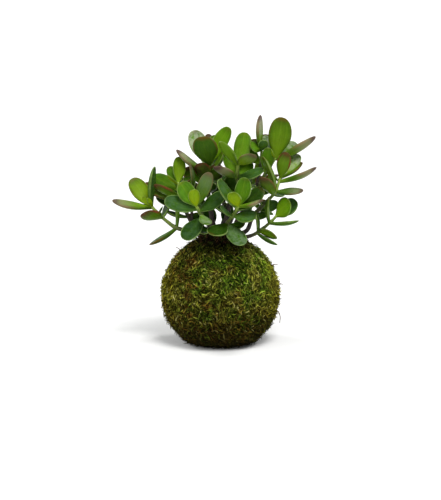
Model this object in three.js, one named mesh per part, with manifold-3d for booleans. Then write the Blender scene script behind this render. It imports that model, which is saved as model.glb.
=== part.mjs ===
// Kokedama: a jade plant growing from a ball of soil that is wrapped in moss and bound with thread.
// Millimetres, +Z up. The origin is the middle of the flat foot that the ball rests on.
// The front looks along -Y.
import * as THREE from "three";
import { mergeVertices } from "three/addons/utils/BufferGeometryUtils.js";
import Module from "manifold-3d";

// Ball
const ballRadius = 59;
const ballCentreHeight = 49; // below the radius, because the ball has settled on its foot
const mossThickness = 6.5;
const neckRadius = 23; // the opening in the moss that the stems come out of
const footDepth = 6; // moss under the soil
const footEase = 14; // height over which the tufts grow from nothing at the foot
const tuftHeight = 1.3;
const mossSegments = 36;
const mossRings = 20;
const moundTop = 113; // the soil heaped round the stems
const crumbHeight = 0.9;
const soilSegments = 26;
const hiddenRings = 8; // round the soil, where the moss covers it
const fitGap = 0.3; // between pieces that touch

// Thread
const threadThickness = 0.9;
const threadRise = 0.75; // the thread's centre above the ball's mean surface
const threadTilt = 52; // degrees that a turn's axis leans, to pass clear of the neck and the foot
const threadTurns = 3;
const threadStart = 23; // degrees round the ball to the first turn's axis
const threadSink = 0.5; // how far a turn pulls the moss in
const threadSinkWidth = 9;
const threadSides = 4;
const threadSegments = 30;

// Leaves
const neckShare = 0.16; // width where a leaf joins its stem, as a share of its full width
const widestAt = 0.56; // share of the length at which a leaf is widest
const baseFullness = 1.25; // 2 draws a leaf in to a long neck, 1 leaves it almost an ellipse
const tipRoundness = 2.2; // 2 ends a leaf in an ellipse, more makes it blunter
const thinnestLeaf = 1;
const thicknessShare = 0.1; // thickness gained for each millimetre of length
const upperShare = 0.36; // of the thickness that lies on the leaf's upper side
const bowShare = 0.045; // how far a leaf's middle hangs below the line from root to tip
const cupShare = 0.05; // how far its edges rise above its middle
const leafSides = 6;
const leafRings = 6;
const hiddenLeafRings = 4;
const leafSunk = 1.8; // how far down the stem a leaf's base starts
const leafTidy = 0.1; // edges shorter than this, left where leaves join, are closed up

// Stems
const stemSides = 6;
const stemStepsPerSpan = 2;
const soilHoleSpans = 2; // how far along a stem its hole in the soil follows it
const soilHoleGap = 0.36;

// Opposite pairs of leaves on the stems at the back
const pairWidthShare = 0.49;
const pairSeed = 4099;
const pairTurnDrift = 9;
const pairSpreadDrift = 7;
const pairLengthDrift = 0.08;

const wasm = await Module();
wasm.setup();

function solidFrom(geometry) {
  const bare = geometry.clone();
  for (const name of Object.keys(bare.attributes)) {
    if (name !== "position") bare.deleteAttribute(name);
  }
  const merged = mergeVertices(bare, 1e-4);
  return new wasm.Manifold(
    new wasm.Mesh({
      numProp: 3,
      vertProperties: merged.getAttribute("position").array,
      triVerts: new Uint32Array(merged.index.array),
    }),
  );
}

function geometryFrom(solid) {
  const mesh = solid.getMesh();
  const points = new Float32Array(mesh.numVert * 3);
  for (let i = 0; i < mesh.numVert; i++) {
    points.set(mesh.vertProperties.subarray(i * mesh.numProp, i * mesh.numProp + 3), i * 3);
  }
  const geometry = new THREE.BufferGeometry();
  geometry.setAttribute("position", new THREE.BufferAttribute(points, 3));
  geometry.setIndex(new THREE.BufferAttribute(mesh.triVerts, 1));
  geometry.computeVertexNormals();
  return geometry;
}

function moveVertices(geometry, move) {
  const position = geometry.getAttribute("position");
  const point = new THREE.Vector3();
  for (let i = 0; i < position.count; i++) {
    move(point.fromBufferAttribute(position, i));
    position.setXYZ(i, point.x, point.y, point.z);
  }
  return geometry;
}

// Seeded draws between -1 and 1, the same on every run.
function drawsFrom(seed) {
  let state = seed;
  return () => {
    state = (state * 16807) % 2147483647;
    return (2 * state) / 2147483647 - 1;
  };
}

// The plant. Each leafy stem has limbs; a limb is a smooth line with leaves along it.
// line: the points it passes through. thick: its diameter at the root and at the tip.
// at: a place on the line, counted in its points. tip: where a leaf ends.
// looks: the way a leaf's upper side faces, which is along the stem unless stated.
// pairs: opposite leaves set by their angles to the stem.
const leafyStems = [
  {
    name: "leafy_stem_left",
    limbs: [
      {
        line: [
          [-14, -2, 95.3], [-14, -2, 107], [-21, -4, 112], [-34, -8, 114.5],
          [-45.5, -9, 118], [-59, -10, 129], [-69, -10, 139.5],
        ],
        thick: [6, 2.8],
        leaves: [
          { at: 6, tip: [-88.3, 0, 165.3], wide: 19, looks: [0.3, -0.9, 0.4] },
          { at: 6, tip: [-107, -14, 144.4], wide: 15, looks: [0.35, -0.25, 0.9] },
          { at: 6, tip: [-64.4, -14, 179], wide: 15, looks: [0.95, -0.3, 0] },
          { at: 6, tip: [-77, -9, 148], wide: 5 },
          { at: 6, tip: [-72, -17, 148], wide: 5 },
          { at: 5, tip: [-75.5, -26, 134.5], wide: 22, looks: [0.1, 0.7, 0.7] },
          { at: 5, tip: [-53, 12, 141], wide: 13 },
          { at: 1.9, tip: [-27, 8, 129], wide: 13, looks: [0, -1, 0.2] },
          { at: 5.4, tip: [-57.5, -14, 139], wide: 8 },
          { at: 4, tip: [-71, -12, 101], wide: 17 },
          { at: 4, tip: [-45, -6, 146], wide: 12, looks: [-1, 0, 0.1] },
        ],
      },
      {
        line: [
          [-16, -2.5, 109.5], [-21, 0, 113], [-29, 1, 121],
          [-35, -1, 134], [-40, -4, 149], [-42, -8, 163],
        ],
        thick: [4.6, 2.4],
        leaves: [
          { at: 5, tip: [-41, 4, 186.6], wide: 13, looks: [0, -1, 0.2] },
          { at: 4.8, tip: [-51.5, 8, 176.5], wide: 12, looks: [0, -1, 0.3] },
          { at: 5, tip: [-52, -17, 171], wide: 6 },
          { at: 5, tip: [-30, -18, 166], wide: 7 },
          { at: 4.5, tip: [-67, -3, 168], wide: 15, looks: [-0.2, -0.8, 0.5] },
          { at: 4, tip: [-65, -18, 162], wide: 13, looks: [0.1, 0.5, 0.85] },
          { at: 3.8, tip: [-76, 6, 159], wide: 16, looks: [0, -0.5, 0.8] },
          { at: 3.4, tip: [-64, 12, 147], wide: 15, looks: [0, -0.6, 0.8] },
          { at: 3, tip: [-38, 24, 148], wide: 14 },
          { at: 3, tip: [-30, -24, 142], wide: 13 },
          { at: 2.6, tip: [-55, -3, 133], wide: 13 },
        ],
      },
      {
        line: [[-29, 1, 121], [-28.5, -2, 135], [-28, -6, 147], [-28, -9, 157]],
        thick: [3.2, 2.2],
        leaves: [
          { at: 3, tip: [-30, -15, 181], wide: 13, looks: [-1, 0, 0] },
          { at: 3, tip: [-33, 9, 167], wide: 12 },
        ],
      },
    ],
  },
  {
    name: "leafy_stem_front_left",
    limbs: [
      {
        line: [
          [-6, -13, 95.3], [-6, -13, 107], [-9, -22, 119],
          [-15, -31, 129], [-20, -36, 136], [-24, -40, 145],
        ],
        thick: [5, 2.6],
        leaves: [
          { at: 5, tip: [-39, -44, 167], wide: 18, looks: [0.1, -0.95, 0.3] },
          { at: 5, tip: [-10, -36, 176], wide: 15, looks: [-0.3, -0.9, 0.2] },
          { at: 5, tip: [-26, -49, 161], wide: 12, looks: [0, 1, 0.2] },
          { at: 5, tip: [-21, -34, 158], wide: 8 },
          { at: 4.6, tip: [-54, -47, 150], wide: 18, looks: [0.1, -0.75, 0.6] },
          { at: 4.4, tip: [4, -34, 156], wide: 15, looks: [0, -0.8, 0.6] },
          { at: 3.6, tip: [-35, -52, 112], wide: 19, looks: [-0.1, -0.7, 0.7] },
          { at: 4, tip: [-12, -53, 127], wide: 12, looks: [0.2, -0.6, 0.7] },
          { at: 2, tip: [-27, -38, 121], wide: 13, looks: [0, -0.7, 0.7] },
        ],
      },
    ],
  },
  {
    name: "leafy_stem_front_right",
    limbs: [
      {
        line: [[4, -12, 95.3], [4, -12, 107], [4.5, -22, 117], [7, -31, 126], [13, -38, 135], [18, -41, 145]],
        thick: [5, 2.6],
        leaves: [
          { at: 5, tip: [24, -37, 171], wide: 17, looks: [-0.3, -0.9, 0.2] },
          { at: 5, tip: [11, -54, 159], wide: 14, looks: [0.2, 0.9, 0.4] },
          { at: 5, tip: [41, -49, 151], wide: 11 },
          { at: 4.8, tip: [-2, -45, 170], wide: 14, looks: [0.4, -0.6, 0.6] },
          { at: 4.6, tip: [41.5, -29, 159], wide: 17, looks: [-0.2, -0.8, 0.5] },
          { at: 4, tip: [0, -48, 143], wide: 11 },
          { at: 4, tip: [35, -46, 134], wide: 18, looks: [0, -0.6, 0.8] },
          { at: 3, tip: [-9, -57, 118], wide: 19, looks: [0, -0.6, 0.8] },
          { at: 3, tip: [21, -56, 108], wide: 19, looks: [0.2, -0.7, 0.7] },
        ],
      },
    ],
  },
  {
    name: "leafy_stem_upper_left",
    limbs: [
      {
        line: [[-6, -3, 95.3], [-7, -3, 110], [-9, -3, 130], [-12, -4, 150], [-12, -5, 166], [-11, -7, 182]],
        thick: [6.4, 3],
        leaves: [
          { at: 5, tip: [-18, -22, 209], wide: 25, looks: [0.1, 0.9, 0.4] },
          { at: 5, tip: [-27.5, 5, 212.5], wide: 20, looks: [0.3, -0.9, 0.3] },
          { at: 5, tip: [-12, 14, 208], wide: 12 },
          { at: 5, tip: [-5, 6, 208], wide: 14, looks: [-0.3, -0.9, 0.2] },
          { at: 5, tip: [8.6, 1, 216.3], wide: 16, looks: [0.2, -0.95, 0.2] },
          { at: 4.4, tip: [-44, 2, 193.4], wide: 13 },
          { at: 4.5, tip: [2, -4, 192], wide: 13 },
          { at: 4, tip: [-22, -15, 182], wide: 16, looks: [0, 0.9, 0.3] },
          { at: 4, tip: [1, -6, 179], wide: 16, looks: [0, 0.9, 0.3] },
          { at: 3.2, tip: [-10, -26, 165], wide: 15, looks: [0, 0.6, 0.8] },
          { at: 3.6, tip: [-28, 6, 177], wide: 13, looks: [0, -0.9, 0.3] },
          { at: 2.4, tip: [-27, -16, 148], wide: 14, looks: [0, -0.7, 0.7] },
          { at: 1.45, tip: [-13, 6, 136], wide: 14, looks: [0, -1, 0.2] },
        ],
      },
    ],
  },
  {
    name: "leafy_stem_centre",
    limbs: [
      {
        line: [[3, -1.5, 95.3], [4, -2, 112], [7, -3, 132], [12, -6, 152], [16, -10, 168], [17, -12, 183]],
        thick: [6, 2.8],
        leaves: [
          { at: 5, tip: [0, -27, 205], wide: 15, looks: [0.5, 0.6, 0.3] },
          { at: 5, tip: [24, 6, 210.7], wide: 18, looks: [-0.2, -0.9, 0.2] },
          { at: 5, tip: [33, -30, 193], wide: 16, looks: [-0.2, 0.8, 0.5] },
          { at: 4.1, tip: [-5, -32, 182], wide: 16, looks: [0.2, 0.5, 0.85] },
          { at: 4.2, tip: [30, 13, 182], wide: 15, looks: [0, -0.9, 0.3] },
          { at: 4.2, tip: [6, 7, 190], wide: 15, looks: [0, -0.9, 0.3] },
          { at: 4.1, tip: [43, -14, 176], wide: 15, looks: [0, -0.5, 0.8] },
          { at: 3.2, tip: [2, -28, 164], wide: 16, looks: [0, -0.7, 0.7] },
          { at: 2.8, tip: [9, -19, 171], wide: 13, looks: [0, -0.8, 0.6] },
          { at: 3.2, tip: [30, 4, 166], wide: 16, looks: [0, -0.8, 0.6] },
          { at: 1.4, tip: [24, -19, 122], wide: 12, looks: [0, -0.7, 0.7] },
          { at: 2.2, tip: [-7, -22, 143], wide: 14, looks: [0, -0.7, 0.7] },
          { at: 1.4, tip: [8, 8, 139], wide: 13, looks: [0, -1, 0.2] },
        ],
      },
    ],
  },
  {
    name: "leafy_stem_upper_right",
    limbs: [
      {
        line: [[11, 3.5, 95.3], [12, 3, 110], [20, 2, 128], [34, 0, 150], [45, -1, 171], [55, -3, 187]],
        thick: [6, 2.8],
        leaves: [
          { at: 5, tip: [60.3, -10, 227.2], wide: 23, looks: [0, -1, 0.1] },
          { at: 5, tip: [94.2, 3, 206.8], wide: 15, looks: [-0.45, 0.42, 0.78] },
          { at: 5, tip: [75, 12, 200], wide: 17, looks: [-0.3, -0.8, 0.6] },
          { at: 5, tip: [44, 5, 208], wide: 14, looks: [0.6, -0.7, 0.4] },
          { at: 5, tip: [50, -9, 195], wide: 5 },
          { at: 5, tip: [61, 2, 197], wide: 5 },
          { at: 4.4, tip: [36, 22, 186], wide: 15 },
          { at: 1.8, tip: [31, -16, 142], wide: 14, looks: [0, -0.7, 0.7] },
          { at: 4, tip: [47, -9, 197], wide: 13, looks: [0, -1, 0.2] },
        ],
      },
      {
        line: [[34, 0, 150], [38, 3, 166], [40, 3, 181], [40.5, 1, 195]],
        thick: [3.8, 2.4],
        leaves: [
          { at: 3, tip: [39, 0, 228.3], wide: 18, looks: [0.95, -0.3, 0] },
          { at: 3, tip: [33, 15, 203], wide: 13 },
          { at: 3, tip: [46, 15, 208], wide: 13 },
          { at: 3, tip: [29, -7, 200], wide: 12, looks: [0.2, -0.7, 0.6] },
          { at: 3, tip: [43, -13, 205], wide: 10, looks: [0, 0.9, 0.4] },
          { at: 2, tip: [22, 14, 196], wide: 14, looks: [0, -0.8, 0.5] },
        ],
      },
    ],
  },
  {
    name: "leafy_stem_right",
    limbs: [
      {
        line: [
          [13.5, -5, 95.3], [16, -5, 107.5], [26.5, -6.5, 114.5], [32, -9, 128],
          [43, -12, 141.5], [53.5, -13.5, 153], [59.5, -9.5, 169],
        ],
        thick: [5.4, 2.6],
        leaves: [
          { at: 6, tip: [65, -19, 193.4], wide: 14, looks: [0.3, 0.9, 0.2] },
          { at: 6, tip: [78, 5, 189], wide: 15, looks: [-0.4, -0.85, 0.3] },
          { at: 6, tip: [81, 0, 181.5], wide: 12, looks: [-0.3, -0.3, 0.9] },
          { at: 5.8, tip: [95, -9, 177], wide: 15.5 },
          { at: 5.8, tip: [49, -9, 173], wide: 10 },
          { at: 5.2, tip: [41, -15, 189], wide: 13, looks: [-0.9, -0.3, 0.1] },
          { at: 5.2, tip: [81.5, -17, 155.8], wide: 15, looks: [0, -0.3, 0.9] },
          { at: 5, tip: [41, -35, 171], wide: 17, looks: [0.3, 0.5, 0.8] },
          { at: 5, tip: [62, 8, 150], wide: 12 },
          { at: 4, tip: [34, -22, 161], wide: 12 },
          { at: 3.6, tip: [57, 4, 141], wide: 13 },
          { at: 3, tip: [47, -6, 131], wide: 8, looks: [0, -0.9, 0.5] },
        ],
      },
    ],
  },
  {
    name: "leafy_stem_right_low",
    limbs: [
      {
        line: [
          [11, -11, 95.3], [11.5, -11.5, 103.5], [18.5, -12.5, 108], [29, -13, 109.5],
          [38, -13, 114], [50, -13, 124], [56, -13, 130.5],
        ],
        thick: [5, 2.5],
        leaves: [
          { at: 6, tip: [67.8, -22, 145.8], wide: 21, looks: [-0.35, -0.75, 0.55] },
          { at: 6, tip: [75, -9, 144.5], wide: 20, looks: [-0.2, -0.6, 0.75] },
          { at: 5, tip: [77.5, -18, 125.6], wide: 14 },
          { at: 5, tip: [47, -25, 150], wide: 13, looks: [1, -0.1, 0.1] },
          { at: 4.2, tip: [54.3, -29, 113], wide: 18 },
          { at: 4, tip: [56, -25, 103], wide: 13 },
          { at: 4, tip: [34, -24, 137], wide: 10, looks: [-1, 0, 0.1] },
        ],
      },
    ],
  },
  {
    name: "leafy_stem_back_left",
    limbs: [
      {
        line: [[-8, 8, 95.3], [-9, 9, 108], [-16, 18, 126], [-26, 28, 144], [-32, 33, 158]],
        thick: [5.6, 2.6],
        pairs: [
          { at: 4, turn: 20, spread: 28, long: 18 },
          { at: 4, turn: 110, spread: 60, long: 26 },
          { at: 3.5, turn: 20, spread: 72, long: 29 },
          { at: 2.9, turn: 110, spread: 82, long: 27 },
          { at: 2.2, turn: 10, spread: 84, long: 19 },
        ],
      },
      {
        line: [[-16, 18, 126], [-25, 33, 134], [-34, 44, 145]],
        thick: [3.6, 2.4],
        pairs: [
          { at: 2, turn: 60, spread: 30, long: 18 },
          { at: 2, turn: 150, spread: 62, long: 25 },
          { at: 1.5, turn: 60, spread: 76, long: 26 },
        ],
      },
    ],
  },
  {
    name: "leafy_stem_back_right",
    limbs: [
      {
        line: [[4, 9.5, 95.3], [5, 11, 108], [14.5, 20, 128], [28, 28, 148], [36, 31, 164]],
        thick: [5.6, 2.6],
        pairs: [
          { at: 4, turn: 70, spread: 26, long: 18 },
          { at: 4, turn: 160, spread: 58, long: 25 },
          { at: 3.5, turn: 70, spread: 74, long: 28 },
          { at: 2.9, turn: 160, spread: 84, long: 26 },
          { at: 2.3, turn: 100, spread: 76, long: 20 },
        ],
      },
      {
        line: [[14.5, 20, 128], [27, 34, 134], [39, 43, 144]],
        thick: [3.6, 2.4],
        pairs: [
          { at: 2, turn: 0, spread: 30, long: 18 },
          { at: 2, turn: 90, spread: 60, long: 26 },
          { at: 1.5, turn: 0, spread: 74, long: 26 },
        ],
      },
    ],
  },
  {
    name: "leafy_stem_back_centre",
    limbs: [
      {
        line: [[-2, 15, 95.3], [-1, 16, 107], [4, 24, 125], [2, 30, 150], [-4, 31, 174]],
        thick: [5, 2.6],
        pairs: [
          { at: 4, turn: 45, spread: 24, long: 19 },
          { at: 4, turn: 135, spread: 50, long: 25 },
          { at: 3.4, turn: 60, spread: 70, long: 27 },
          { at: 2.8, turn: 100, spread: 80, long: 24 },
        ],
      },
      {
        line: [[4, 24, 125], [3, 40, 131], [2, 51, 141]],
        thick: [3.6, 2.4],
        pairs: [
          { at: 2, turn: 10, spread: 28, long: 18 },
          { at: 2, turn: 90, spread: 58, long: 24 },
          { at: 1.5, turn: 70, spread: 72, long: 22 },
        ],
      },
    ],
  },
];

function limbCurve(limb) {
  const points = limb.line.map((p) => new THREE.Vector3(...p));
  return new THREE.CatmullRomCurve3(points, false, "catmullrom", 0.5);
}

function placeOn(curve, at) {
  const share = at / (curve.points.length - 1);
  return { point: curve.getPoint(share), along: curve.getTangent(share) };
}

// A cylinder bent along a limb's curve and tapered with it, over its first spans, and fatter by extra.
function limbGeometry(limb, spans, extra) {
  const curve = limbCurve(limb);
  const allSpans = limb.line.length - 1;
  const level = new THREE.Vector3(0, 1, 0);
  return moveVertices(new THREE.CylinderGeometry(1, 1, 1, stemSides, stemStepsPerSpan * spans), (p) => {
    const at = (p.y + 0.5) * spans;
    const { point, along } = placeOn(curve, at);
    const side = new THREE.Vector3().crossVectors(along, level).normalize();
    const other = new THREE.Vector3().crossVectors(side, along);
    const radius = THREE.MathUtils.lerp(limb.thick[0], limb.thick[1], at / allSpans) / 2 + extra;
    if (at === 0) point.addScaledVector(along, -extra);
    p.copy(point.addScaledVector(side, p.x * radius).addScaledVector(other, p.z * radius));
  });
}

function leafOutline(t) {
  if (t >= widestAt) {
    const past = Math.min(1, (t - widestAt) / (1 - widestAt));
    return (1 - past ** tipRoundness) ** (1 / tipRoundness);
  }
  return neckShare + (1 - neckShare) * Math.sin((Math.PI / 2) * (t / widestAt)) ** baseFullness;
}

function leafThickness(t) {
  return (0.7 + 0.3 * Math.sin(Math.PI * t)) * Math.sqrt(Math.max(0, 1 - t ** 4));
}

// A leaf: a sphere drawn out into a thick, cupped spoon from root to tip.
function leafGeometry(root, tip, wide, looks, rings) {
  const along = new THREE.Vector3().subVectors(tip, root);
  const long = along.length();
  along.normalize();
  const up = looks.clone().addScaledVector(along, -looks.dot(along)).normalize();
  const across = new THREE.Vector3().crossVectors(along, up);
  const thick = thinnestLeaf + thicknessShare * long;
  return moveVertices(new THREE.SphereGeometry(1, leafSides, rings), (p) => {
    const t = (1 + p.y) / 2;
    const ring = Math.hypot(p.x, p.z);
    const sideways = ring < 1e-6 ? 0 : p.x / ring;
    const rise = ring < 1e-6 ? 0 : p.z / ring;
    const half = (wide / 2) * leafOutline(t) * sideways;
    const depth = thick * leafThickness(t) * rise * (rise > 0 ? upperShare : 1 - upperShare);
    const cup = cupShare * wide * leafOutline(t) * sideways ** 2;
    const bow = bowShare * long * Math.sin(Math.PI * t);
    p.copy(root)
      .addScaledVector(along, long * t)
      .addScaledVector(across, half)
      .addScaledVector(up, depth + cup - bow);
  });
}

// Both leaves of each opposite pair on a limb, as rows like the ones given by their tips.
function leavesOfPairs(limb, draw) {
  const curve = limbCurve(limb);
  return (limb.pairs || []).flatMap((pair) => {
    const { point, along } = placeOn(curve, pair.at);
    const first = new THREE.Vector3().crossVectors(new THREE.Vector3(0, 1, 0), along).normalize();
    const second = new THREE.Vector3().crossVectors(along, first);
    return [0, 180].map((half) => {
      const turn = THREE.MathUtils.degToRad(pair.turn + half + pairTurnDrift * draw());
      const spread = THREE.MathUtils.degToRad(pair.spread + pairSpreadDrift * draw());
      const long = pair.long * (1 + pairLengthDrift * draw());
      const tip = point
        .clone()
        .addScaledVector(along, long * Math.cos(spread))
        .addScaledVector(first, long * Math.sin(spread) * Math.cos(turn))
        .addScaledVector(second, long * Math.sin(spread) * Math.sin(turn));
      return { at: pair.at, tip: tip.toArray(), wide: pair.long * pairWidthShare, hidden: true };
    });
  });
}

function leafSolid(limb, leaf) {
  const { point, along } = placeOn(limbCurve(limb), leaf.at);
  const looks = leaf.looks ? new THREE.Vector3(...leaf.looks) : along;
  const root = point.addScaledVector(along, -leafSunk);
  const rings = leaf.hidden ? hiddenLeafRings : leafRings;
  return solidFrom(leafGeometry(root, new THREE.Vector3(...leaf.tip), leaf.wide, looks, rings));
}

function leafyStemSolid(stem, draw) {
  let whole = null;
  for (const limb of stem.limbs) {
    const pieces = [solidFrom(limbGeometry(limb, limb.line.length - 1, 0))];
    for (const leaf of [...(limb.leaves || []), ...leavesOfPairs(limb, draw)]) {
      pieces.push(leafSolid(limb, leaf));
    }
    for (const piece of pieces) whole = whole ? whole.add(piece) : piece;
  }
  return whole.asOriginal().simplify(leafTidy);
}

// The ball's outline at a polar angle from the top, and a run of it down to a level floor.
function circlePoint(radius, angle) {
  return new THREE.Vector2(radius * Math.sin(angle), ballCentreHeight + radius * Math.cos(angle));
}

function ballOutline(radius, floor, fromAngle, stations) {
  const footAngle = Math.acos((floor - ballCentreHeight) / radius);
  return Array.from({ length: stations + 1 }, (_, i) =>
    circlePoint(radius, THREE.MathUtils.lerp(fromAngle, footAngle, i / stations)),
  );
}

const threadPoles = Array.from({ length: threadTurns }, (_, i) => {
  const tilt = THREE.MathUtils.degToRad(threadTilt);
  const turn = THREE.MathUtils.degToRad(threadStart + (i * 360) / threadTurns);
  return new THREE.Vector3(Math.sin(tilt) * Math.cos(turn), Math.sin(tilt) * Math.sin(turn), Math.cos(tilt));
});

// Moss stands up in tufts, is drawn in under each turn of thread and lies flat under the foot.
function mossRise(point) {
  const out = point.clone().sub(new THREE.Vector3(0, 0, ballCentreHeight));
  const far = out.length();
  out.normalize();
  const tufts =
    Math.sin(7 * out.x + 3 * out.z) * Math.cos(8 * out.y - 4 * out.x) +
    0.6 * Math.sin(13 * out.y + 9 * out.z) * Math.cos(15 * out.x + 2);
  const offsets = threadPoles.map((pole) => (far * out.dot(pole)) / threadSinkWidth);
  const pulled = Math.max(...offsets.map((offset) => Math.exp(-(offset * offset))));
  const settled = THREE.MathUtils.smoothstep(point.z, 0, footEase);
  return { out, rise: settled * (tuftHeight * tufts * (1 - pulled) - threadSink * pulled) };
}

function mossWrapSolid() {
  const inner = ballRadius - mossThickness;
  const lipOuter = Math.asin(neckRadius / ballRadius);
  const lipInner = Math.asin(neckRadius / inner);
  const outside = ballOutline(ballRadius, 0, lipOuter, mossRings);
  const inside = ballOutline(inner, footDepth, lipInner, hiddenRings).reverse();
  const lipTop = new THREE.Vector2(neckRadius - 0.2, ballCentreHeight + ballRadius * Math.cos(lipOuter) - 1);
  const profile = [new THREE.Vector2(0, footDepth), ...inside, lipTop, ...outside, new THREE.Vector2(0, 0)];
  const wrap = new THREE.LatheGeometry(profile.reverse(), mossSegments).rotateX(Math.PI / 2);
  const shaped = moveVertices(wrap, (p) => {
    const radial = Math.hypot(p.x, p.y, p.z - ballCentreHeight);
    if (radial < ballRadius - 0.5 || p.z < 0.5) return;
    const { out, rise } = mossRise(p);
    p.addScaledVector(out, rise);
  });
  return solidFrom(shaped);
}

function soilBallSolid(stems) {
  const radius = ballRadius - mossThickness - fitGap;
  const collar = neckRadius - fitGap - 0.8;
  const shoulder = Math.asin(collar / radius);
  const body = ballOutline(radius, footDepth + fitGap, shoulder, hiddenRings).reverse();
  const rim = ballCentreHeight + ballRadius * Math.cos(Math.asin(neckRadius / ballRadius));
  const mound = [
    new THREE.Vector2(collar, rim),
    new THREE.Vector2(collar * 0.9, rim + 4),
    new THREE.Vector2(collar * 0.66, moundTop - 2.2),
    new THREE.Vector2(collar * 0.34, moundTop - 0.5),
    new THREE.Vector2(0, moundTop),
  ];
  const profile = [new THREE.Vector2(0, footDepth + fitGap), ...body, ...mound];
  const lathe = new THREE.LatheGeometry(profile, soilSegments).rotateX(Math.PI / 2);
  let soil = solidFrom(
    moveVertices(lathe, (p) => {
      const crumb = Math.sin(0.9 * p.x + 1) * Math.cos(0.8 * p.y - 0.5);
      if (p.z > rim + 1) p.z += crumbHeight * crumb;
    }),
  );
  for (const stem of stems) {
    soil = soil.subtract(solidFrom(limbGeometry(stem.limbs[0], soilHoleSpans, soilHoleGap)));
  }
  return soil;
}

// Turns of thread, each a tilted ring that follows the ball; they cross and are knotted into one.
function threadSolid() {
  const turns = threadPoles.map((pole) => {
    const reach = ballRadius + threadRise;
    const ring = new THREE.TorusGeometry(reach, threadThickness / 2, threadSides, threadSegments);
    const turn = new THREE.Quaternion().setFromUnitVectors(new THREE.Vector3(0, 0, 1), pole);
    return solidFrom(ring.applyQuaternion(turn).translate(0, 0, ballCentreHeight));
  });
  return turns.reduce((whole, turn) => whole.add(turn));
}

const materials = {
  moss: new THREE.MeshStandardMaterial({ color: 0x4d5a1e, roughness: 1, metalness: 0 }),
  soil: new THREE.MeshStandardMaterial({ color: 0x2a1f16, roughness: 1, metalness: 0 }),
  thread: new THREE.MeshStandardMaterial({ color: 0x5a5f34, roughness: 0.6, metalness: 0 }),
  leaf: new THREE.MeshStandardMaterial({ color: 0x4f7f2c, roughness: 0.4, metalness: 0 }),
};

function pieceOf(name, solid, material) {
  const mesh = new THREE.Mesh(geometryFrom(solid), material);
  mesh.name = name;
  return mesh;
}

const kokedama = new THREE.Group();
const draw = drawsFrom(pairSeed);
kokedama.add(pieceOf("moss_wrap", mossWrapSolid(), materials.moss));
kokedama.add(pieceOf("soil_ball", soilBallSolid(leafyStems), materials.soil));
kokedama.add(pieceOf("binding_thread", threadSolid(), materials.thread));
for (const stem of leafyStems) {
  kokedama.add(pieceOf(stem.name, leafyStemSolid(stem, draw), materials.leaf));
}

export default kokedama;
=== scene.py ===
from math import acos, asin, cos, exp, pi, radians, sin, sqrt

import bpy
import numpy as np
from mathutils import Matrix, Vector


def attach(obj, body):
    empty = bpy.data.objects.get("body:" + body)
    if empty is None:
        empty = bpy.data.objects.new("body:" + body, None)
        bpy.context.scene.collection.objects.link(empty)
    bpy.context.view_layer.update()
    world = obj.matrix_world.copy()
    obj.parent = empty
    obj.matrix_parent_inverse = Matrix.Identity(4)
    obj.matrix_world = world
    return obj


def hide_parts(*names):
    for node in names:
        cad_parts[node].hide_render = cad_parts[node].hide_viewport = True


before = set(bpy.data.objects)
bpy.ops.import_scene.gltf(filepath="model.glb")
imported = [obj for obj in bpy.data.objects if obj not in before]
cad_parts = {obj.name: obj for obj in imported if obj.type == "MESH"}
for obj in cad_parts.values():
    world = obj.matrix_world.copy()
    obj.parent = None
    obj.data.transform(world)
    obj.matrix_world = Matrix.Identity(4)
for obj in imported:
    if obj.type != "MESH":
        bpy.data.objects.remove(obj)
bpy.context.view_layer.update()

millimetre = 0.001  # sizes below are in millimetres, and Blender's are in metres


# Modelling helpers


def deselectAll():
    if bpy.context.object and bpy.context.object.mode != "OBJECT":
        bpy.ops.object.mode_set(mode="OBJECT")
    bpy.ops.object.select_all(action="DESELECT")


def editWhole():
    bpy.ops.object.mode_set(mode="EDIT")
    bpy.ops.mesh.select_all(action="SELECT")


def finishSmooth():
    bpy.ops.mesh.select_all(action="SELECT")
    bpy.ops.mesh.normals_make_consistent(inside=False)
    bpy.ops.object.mode_set(mode="OBJECT")
    bpy.ops.object.shade_smooth()


# A closed, tapered blank along +Y: a disc drawn out ring by ring and drawn together at its tip.
def modelBlank(name, sides, stations, widths, depths=None):
    depths = depths or widths
    deselectAll()
    bpy.ops.mesh.primitive_circle_add(
        vertices=sides, radius=1, fill_type="NGON", rotation=(pi / 2, 0, 0)
    )
    blank = bpy.context.object
    blank.name = name
    bpy.ops.object.transform_apply(location=False, rotation=True, scale=False)
    editWhole()
    bpy.ops.transform.resize(value=(widths[0], 1, depths[0]), center_override=(0, 0, 0))
    for before, now in zip(range(len(stations) - 1), range(1, len(stations))):
        step = (0, stations[now] - stations[before], 0)
        bpy.ops.mesh.extrude_region_move(TRANSFORM_OT_translate={"value": step})
        grow = (widths[now] / widths[before], 1, depths[now] / depths[before])
        bpy.ops.transform.resize(value=grow, center_override=(0, stations[now], 0))
    bpy.ops.mesh.merge(type="COLLAPSE")
    finishSmooth()
    return blank


def modelRod(name, sides, rings, tip=1):
    return modelBlank(name, sides, np.linspace(0, 1, rings), [1] * (rings - 1) + [tip])


def pointsOf(item):
    points = np.empty(len(item.data.vertices) * 3)
    item.data.vertices.foreach_get("co", points)
    return points.reshape(-1, 3)


def movePoints(item, points):
    item.data.vertices.foreach_set("co", np.ascontiguousarray(points, np.float32).ravel())
    item.data.update()


def mark(item, name, values):
    kind, field = ("FLOAT_COLOR", "color") if values.shape[1] == 4 else ("FLOAT_VECTOR", "vector")
    attribute = item.data.attributes.new(name, kind, "POINT")
    attribute.data.foreach_set(field, np.ascontiguousarray(values, np.float32).ravel())


def copyOf(blank):
    copied = blank.copy()
    copied.data = blank.data.copy()
    bpy.context.scene.collection.objects.link(copied)
    return copied


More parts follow.
